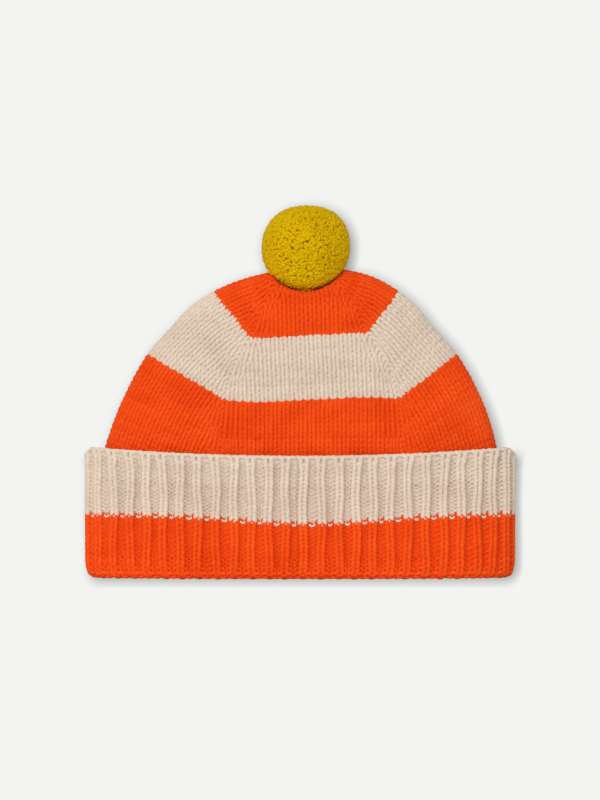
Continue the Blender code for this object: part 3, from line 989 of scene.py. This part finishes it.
def tie_piece(name, node, path, radius, closed, frayed=False, body="pompom_tie"):
    """A mustard yarn of three plies, which can be frayed at its end."""
    knit = Knit(8)
    twist_plies(knit, path, radius, 3, PLY_PITCH, closed, 0.4)
    if frayed:
        share = np.linspace(0, 1, 6)[:, None]
        for number in range(FRAY_FIBRES):
            angle = 2 * math.pi * number / FRAY_FIBRES
            spread = np.array([math.cos(angle), math.sin(angle), 0]) * radius
            fibre = path[-1] + spread * (0.4 + 0.9 * share) - np.array([0, 0, FRAY_DROP]) * share
            knit.add(fibre, np.tile(np.cross(spread, (0, 0, 1)), (6, 1)), 0.00014, False, 0.7)
    knit.build(name, MUSTARD, body, node)


def make_binding():
    """The yarn round the middle of the strands."""
    low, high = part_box("pompom_binding")
    yarn = (high.x - low.x) / 2
    ring = (high.z - low.z) / 2 - yarn
    turn = np.linspace(0, 2 * math.pi, 80, endpoint=False)
    path = columns(np.full(80, POMPOM_X), ring * np.cos(turn), POMPOM_Z + ring * np.sin(turn))
    tie_piece("pompom_binding_plies", "pompom_binding", path, yarn, True, body="pompom_core")


def make_gather():
    """The yarn drawn through the last stitches, round the tie hole."""
    low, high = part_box("crown_gather_yarn")
    yarn = (high.z - low.z) / 2
    ring = (high.x - low.x) / 2 - yarn
    turn = np.linspace(0, 2 * math.pi, 110, endpoint=False)
    height = low.z + yarn + 0.00025 * np.sin(8 * turn)
    knit = Knit(8)
    path = columns(POMPOM_X + ring * np.cos(turn), ring * np.sin(turn), height)
    twist_plies(knit, path, yarn, 3, PLY_PITCH, True)
    knit.build("crown_gather_plies", ORANGE, "hat", "crown_gather_yarn")


def make_back_seam():
    """The linking chain up the inside of the back, one small loop to every course."""
    low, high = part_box("back_seam_thread")
    heights = np.linspace(low.z, high.z, 200)
    middle = np.zeros(200)
    crown = crown_depth(middle, np.maximum(heights, CROWN_BASE)) - SEAM_INSET
    bottom = high.y - (high.x - low.x) / 2
    share = np.clip((heights - low.z) / (CROWN_BASE - low.z), 0, 1)
    depth = np.where(heights < CROWN_BASE, bottom + (crown - bottom) * share, crown)
    spine = even_spacing(columns(middle, depth, heights), 900)[0]
    turn = np.pi * np.linspace(0, 1, 900) * (high.z - low.z) / SEAM_LOOP
    knit = Knit(8)
    for side in (-1, 1):
        thread = spine.copy()
        thread[:, 0] += side * 0.0008 * np.abs(np.sin(turn)) ** 0.7
        thread[:, 1] += side * 0.0003 * np.sin(2 * turn)
        knit.add(thread, np.tile((0.0, 1.0, 0.0), (900, 1)), 0.00042, False, 0.4)
    knit.build("back_seam_chain", ORANGE, "hat", "back_seam_thread")


# ---- Care label ----


def make_label():
    """A blank woven label: a ribbon folded over at its foot, curling a little as it hangs."""
    low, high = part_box("care_label")
    wide, rows = 29, 44
    fold_radius, hem = 0.00045, 0.0075
    width, length = high.x - low.x, high.z - low.z
    middle = (low.y + high.y) / 2
    profile = []
    for share in np.linspace(0, 1, rows):
        curl = 0.0005 * math.sin(2.6 * share) - 0.0011 * share ** 2
        profile.append((middle + curl, high.z - 0.0001 - (length - 0.0012) * share))
    y, z = profile[-1]
    for angle in np.linspace(0, math.pi, 9)[1:]:
        profile.append((y - fold_radius + fold_radius * math.cos(angle), z - fold_radius * math.sin(angle)))
    y, z = profile[-1]
    for share in np.linspace(0, 1, 8)[1:]:
        profile.append((y + 0.0001 * share, z + hem * share))
    points = []
    for y, z in profile:
        drop = (high.z - z) / length
        for place in np.linspace(-0.5, 0.5, wide):
            cup = 0.0007 * drop * (4 * place ** 2 - 0.5)
            points.append((place * width * (1 - 0.004 * drop), y + cup, z))
    grid = np.arange(len(points)).reshape(-1, wide)
    faces = np.stack([grid[:-1, :-1], grid[:-1, 1:], grid[1:, 1:], grid[1:, :-1]], axis=2).reshape(-1, 4)
    mesh = bpy.data.meshes.new("care_label_ribbon")
    mesh.from_pydata(points, [], faces.tolist())
    mesh.shade_smooth()
    mesh.materials.append(LABEL[0])
    piece = add_object("care_label_ribbon", mesh)
    thick = piece.modifiers.new("Thickness", "SOLIDIFY")
    thick.thickness = 0.00028
    thick.offset = 0
    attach(piece, "label")
    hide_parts("care_label")


def make_label_stitches():
    """Zigzag stitches along the label's top edge."""
    low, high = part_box("care_label_stitches")
    yarn, teeth = 0.00022, 11
    turn = np.linspace(0, 1, 420)
    x = low.x + yarn + (high.x - low.x - 2 * yarn) * turn
    wave = 2 / math.pi * np.arcsin(np.sin(2 * math.pi * teeth * turn))
    y = (low.y + high.y) / 2 + 0.00018 * np.cos(4 * math.pi * teeth * turn)
    knit = Knit(6)
    path = columns(x, y, (low.z + high.z) / 2 + 0.0007 * wave)
    twist_plies(knit, path, yarn, 2, 0.0012, False)
    knit.build("care_label_zigzag", LABEL, "hat", "care_label_stitches")


# ---- Materials ----


class Nodes:
    """Short ways to wire up a material."""

    def __init__(self, name):
        self.material = bpy.data.materials.new(name)
        self.material.use_nodes = True
        self.nodes = self.material.node_tree.nodes
        self.links = self.material.node_tree.links
        self.shader = self.nodes["Principled BSDF"]
        self.output = self.nodes["Material Output"]

    def new(self, kind, inputs, **settings):
        """A node of a kind, with values or links given to its inputs."""
        node = self.nodes.new("ShaderNode" + kind)
        for label, value in inputs.items():
            if isinstance(value, bpy.types.NodeSocket):
                self.links.new(value, node.inputs[label])
            else:
                node.inputs[label].default_value = value
        for setting, value in settings.items():
            setattr(node, setting, value)
        return node.outputs

    def attribute(self, label):
        return self.new("Attribute", {}, attribute_name=label)["Fac"]

    def maths(self, operation, *values):
        return self.new("Math", dict(enumerate(values)), operation=operation)[0]

    def plus(self, *values):
        return self.maths("ADD", *values)

    def times(self, *values):
        return self.maths("MULTIPLY", *values)

    def place(self):
        return self.new("TexCoord", {})["Object"]

    def clear(self):
        return self.new("BsdfTransparent", {})["BSDF"]

    def noise(self, scale, detail):
        return self.new("TexNoise", {"Scale": scale, "Detail": detail, "Vector": self.place()})["Fac"]

    def ramp(self, factor, stops):
        colours = self.new("ValToRGB", {"Fac": factor})["Color"]
        elements = colours.node.color_ramp.elements
        while len(elements) < len(stops):
            elements.new(0.5)
        for element, (place, colour) in zip(elements, stops):
            element.position = place
            element.color = (*colour, 1)
        return colours

    def feed(self, value, label):
        self.links.new(value, self.shader.inputs[label])

    def bump(self, height, strength, distance):
        inputs = {"Strength": strength, "Distance": distance, "Height": height}
        self.feed(self.new("Bump", inputs)["Normal"], "Normal")


def wool(name, deep, middle, light):
    """Soft spun yarn: mottled colour, a twist along the strand and fine fibres."""
    make = Nodes(name)
    twist_pitch = 0.0034
    turn = make.maths("ARCTAN2", make.attribute("yarn_sin"), make.attribute("yarn_cos"))
    along = make.times(make.attribute("yarn_along"), 2 * math.pi / twist_pitch)
    twist = make.maths("SINE", make.plus(make.times(turn, 2.0), along))
    fibres = make.noise(1900, 3)
    mottle = make.plus(make.times(make.noise(60, 2), 0.5), make.times(fibres, 0.35))
    # yarn_shade is each yarn's random tone, with painted light on the band and the pompom's underside and
    # painted shade on the crown's web
    tone = make.plus(mottle, make.times(make.attribute("yarn_shade"), 0.45))
    tone = make.plus(make.maths("SUBTRACT", tone, 0.15), make.times(twist, 0.06))
    make.feed(make.ramp(tone, ((0.1, deep), (0.5, middle), (0.9, light))), "Base Color")
    make.feed(make.plus(make.times(fibres, 0.2), 0.72), "Roughness")
    make.shader.inputs["Specular IOR Level"].default_value = 0.06
    make.bump(make.plus(make.times(twist, 0.6), make.noise(2600, 3)), 0.6, 0.0002)
    return make.material


def woven_tape(name, colour):
    """Closely woven ribbon: warp and weft threads crossing."""
    make = Nodes(name)
    place = make.new("SeparateXYZ", {"Vector": make.place()})
    warp = make.maths("SINE", make.times(place["X"], 2 * math.pi / 0.0005))
    weft = make.maths("SINE", make.times(place["Z"], 2 * math.pi / 0.0006))
    weave = make.times(warp, weft)
    tone = make.plus(make.times(weave, 0.15), make.noise(300, 3))
    dark = tuple(0.82 * value for value in colour)
    make.feed(make.ramp(tone, ((0.25, dark), (0.7, colour))), "Base Color")
    make.feed(make.plus(make.times(weave, 0.08), 0.5), "Roughness")
    make.bump(weave, 0.5, 0.0001)
    return make.material


# Each yarn is (material, slot)
ORANGE = wool("orange_wool", (0.67, 0.040, 0.003), (0.86, 0.078, 0.007), (0.95, 0.115, 0.013)), "orange_yarn"
BEIGE = wool("beige_wool", (0.58, 0.455, 0.36), (0.725, 0.59, 0.48), (0.825, 0.695, 0.58)), "beige_yarn"
MUSTARD = wool(
    "mustard_wool", (0.50, 0.29, 0.0003), (0.69, 0.43, 0.0005), (0.80, 0.55, 0.001)
), "mustard_yarn"
LABEL = woven_tape("label_tape", (0.82, 0.82, 0.80)), "label_tape"

# ---- Build ----


def knit_turn_up():
    """The band's courses from the rolled rim, down, round the fold and up inside."""
    inner_start = FOLD_PLACE + INNER_START
    beige = round((STRIPE_PLACE - RIM_END) / RIB_ROW)
    edge = beige // 2
    edge_end = RIM_END + (STRIPE_PLACE - RIM_END) * edge / beige
    orange = round((inner_start - STRIPE_PLACE) / RIB_ROW)
    lower = orange // 2
    lower_end = STRIPE_PLACE + (inner_start - STRIPE_PLACE) * lower / orange
    inner = round((BAND_END - inner_start) / INNER_RIB_ROW)
    upper_band, lower_band = "turn_up_upper_band", "turn_up_lower_band"
    knit_band("turn_up_rim_rows", 0, RIM_END, round(RIM_END / RIM_ROW), BEIGE, "turn_up_edge", 8)
    knit_band("turn_up_edge_courses", RIM_END, edge_end, edge, BEIGE, "turn_up_edge")
    knit_band(
        "turn_up_upper_courses", edge_end, STRIPE_PLACE, beige - edge, BEIGE, upper_band,
        last_reach=STRIPE_REACH,
    )
    knit_band("turn_up_lower_courses", STRIPE_PLACE, lower_end, lower, ORANGE, lower_band)
    knit_band("turn_up_fold_courses", lower_end, inner_start, orange - lower, ORANGE, lower_band)
    knit_band("inner_rib_courses", inner_start, BAND_END, inner, ORANGE, "inner_rib_band", 10, 5)


LOWER_WEB = -1, LOWER_STRIPE_END
MIDDLE_WEB = LOWER_STRIPE_END, MIDDLE_STRIPE_END
CAP_WEB = MIDDLE_STRIPE_END, CAP_WEB_END
knit_crown("crown_lower_courses", FIRST_COURSE, LOWER_SPLIT, ORANGE, "crown_lower_band", LOWER_WEB)
knit_crown("crown_lower_courses_above", LOWER_SPLIT, LOWER_STRIPE_END, ORANGE, "crown_lower_band")
knit_crown("crown_middle_courses", LOWER_STRIPE_END, MIDDLE_SPLIT, BEIGE, "crown_middle_band", MIDDLE_WEB)
knit_crown("crown_middle_courses_above", MIDDLE_SPLIT, MIDDLE_STRIPE_END, BEIGE, "crown_middle_band")
knit_crown("crown_cap_courses", MIDDLE_STRIPE_END, LAST_COURSE, ORANGE, "crown_cap", CAP_WEB)
knit_turn_up()
make_pompom()
make_pompom_fuzz()
make_tie()
make_binding()
make_gather()
make_back_seam()
make_label()
make_label_stitches()

# ---- Stage, light and camera ----


def facing_camera(make):
    """1 for camera rays that run nearly along +Y, else 0."""
    incoming = make.new("NewGeometry", {})["Incoming"]
    along = make.new("VectorMath", {0: incoming, 1: (0, -1, 0)}, operation="DOT_PRODUCT")["Value"]
    return make.times(make.maths("GREATER_THAN", along, 0.95), make.new("LightPath", {})["Is Camera Ray"])


def mixed(make, factor, first, second):
    """Shows the second shader where the factor is 1, and the first where it is 0."""
    shader = make.new("MixShader", {"Fac": factor, 1: first, 2: second})["Shader"]
    make.links.new(shader, make.output.inputs["Surface"])


def stage_sheet(name, corners, faces, *materials):
    mesh = bpy.data.meshes.new(name)
    mesh.from_pydata(corners, [], faces)
    for material in materials:
        mesh.materials.append(material)
    sheet = add_object(name, mesh)
    sheet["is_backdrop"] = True
    sheet.visible_shadow = False
    return sheet


def make_floor():
    """The pale floor. Straight from the front it gives way to the sheet behind the hat."""
    make = Nodes("pale_floor")
    make.shader.inputs["Base Color"].default_value = (0.88, 0.885, 0.87, 1)
    make.shader.inputs["Roughness"].default_value = 1.0
    mixed(make, facing_camera(make), make.shader.outputs["BSDF"], make.clear())
    corners = [(-6, -6, 0), (6, -6, 0), (6, 6, 0), (-6, 6, 0)]
    stage_sheet("floor", corners, [(0, 1, 2, 3)], make.material)


def clear_film():
    """A material that nothing sees: it only stands in for the fold's edge in the sheet's soft shade."""
    make = Nodes("clear_film")
    make.nodes.remove(make.shader)
    make.links.new(make.clear(), make.output.inputs["Surface"])
    return make.material


def make_backdrop():
    """The pale sheet that the hat stands against: it shows only straight from the front. It glows evenly,
    with a painted shadow of the hat, darkest next to its outline and mostly to the right and below.
    """
    make = Nodes("pale_sheet")
    make.nodes.remove(make.shader)
    # The occlusion leans towards the key light, so the painted shadow falls mostly to the right and below
    tilt = make.new("CombineXYZ", {"X": -0.47, "Y": -0.78, "Z": 0.41})["Vector"]
    inputs = {"Distance": SHADE_REACH, "Normal": tilt}
    near = [
        make.new("AmbientOcclusion", inputs, samples=12, only_local=only_local)["AO"]
        for only_local in (False, True)
    ]
    # Painted shadow: the glowing sheet darkens towards near black where the hat is close
    colour = make.ramp(make.maths("MINIMUM", *near), ((0.0, (0.20, 0.21, 0.21)), (1.0, BACKGROUND)))
    mixed(make, facing_camera(make), make.clear(), make.new("Emission", {"Color": colour})["Emission"])
    corners = [(-3, SHEET_Y, -3), (3, SHEET_Y, -3), (3, SHEET_Y, 3), (-3, SHEET_Y, 3)]
    reach = HALF_WIDTH - SHADE_BAR_INSET
    bar = ((-reach, SHADE_BAR_FOOT), (reach, SHADE_BAR_FOOT), (reach, SHADE_BAR), (-reach, SHADE_BAR))
    for depth in (SHEET_Y, SHEET_Y - SHADE_BAR_DEPTH):
        corners += [(x, depth, height) for x, height in bar]
    faces = [(0, 1, 2, 3), (4, 5, 9, 8), (5, 6, 10, 9), (6, 7, 11, 10), (7, 4, 8, 11), (8, 9, 10, 11)]
    sheet = stage_sheet("backdrop", corners, faces, make.material, clear_film())
    for face in sheet.data.polygons[1:]:
        face.material_index = 1
    sheet.visible_diffuse = False
    sheet.visible_glossy = False


def make_lights():
    sun = bpy.data.lights.new("key", "SUN")
    sun.energy = 1.35
    sun.angle = math.radians(35)
    lamp = add_object("key", sun)
    lamp.rotation_euler = Vector((0.30, 0.87, -0.40)).to_track_quat("-Z", "Y").to_euler()
    world = bpy.data.worlds.new("studio")
    bpy.context.scene.world = world
    world.use_nodes = True
    background = world.node_tree.nodes["Background"]
    background.inputs["Color"].default_value = (*BACKGROUND, 1)
    background.inputs["Strength"].default_value = 0.75
    bpy.context.scene.view_settings.view_transform = "Standard"


def make_camera():
    camera = bpy.data.cameras.new("camera")
    camera.lens = 200
    camera.sensor_width = 36
    eye = add_object("camera", camera)
    eye.location = (0, -VIEW_HEIGHT * camera.lens / camera.sensor_width, EYE_HEIGHT)
    eye.rotation_euler = (math.pi / 2, 0, 0)
    bpy.context.scene.camera = eye


make_floor()
make_backdrop()
make_lights()
make_camera()

boxes = {"cad": cad_box, "visual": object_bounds()}
{name: [list(corner) for corner in box] for name, box in boxes.items()}
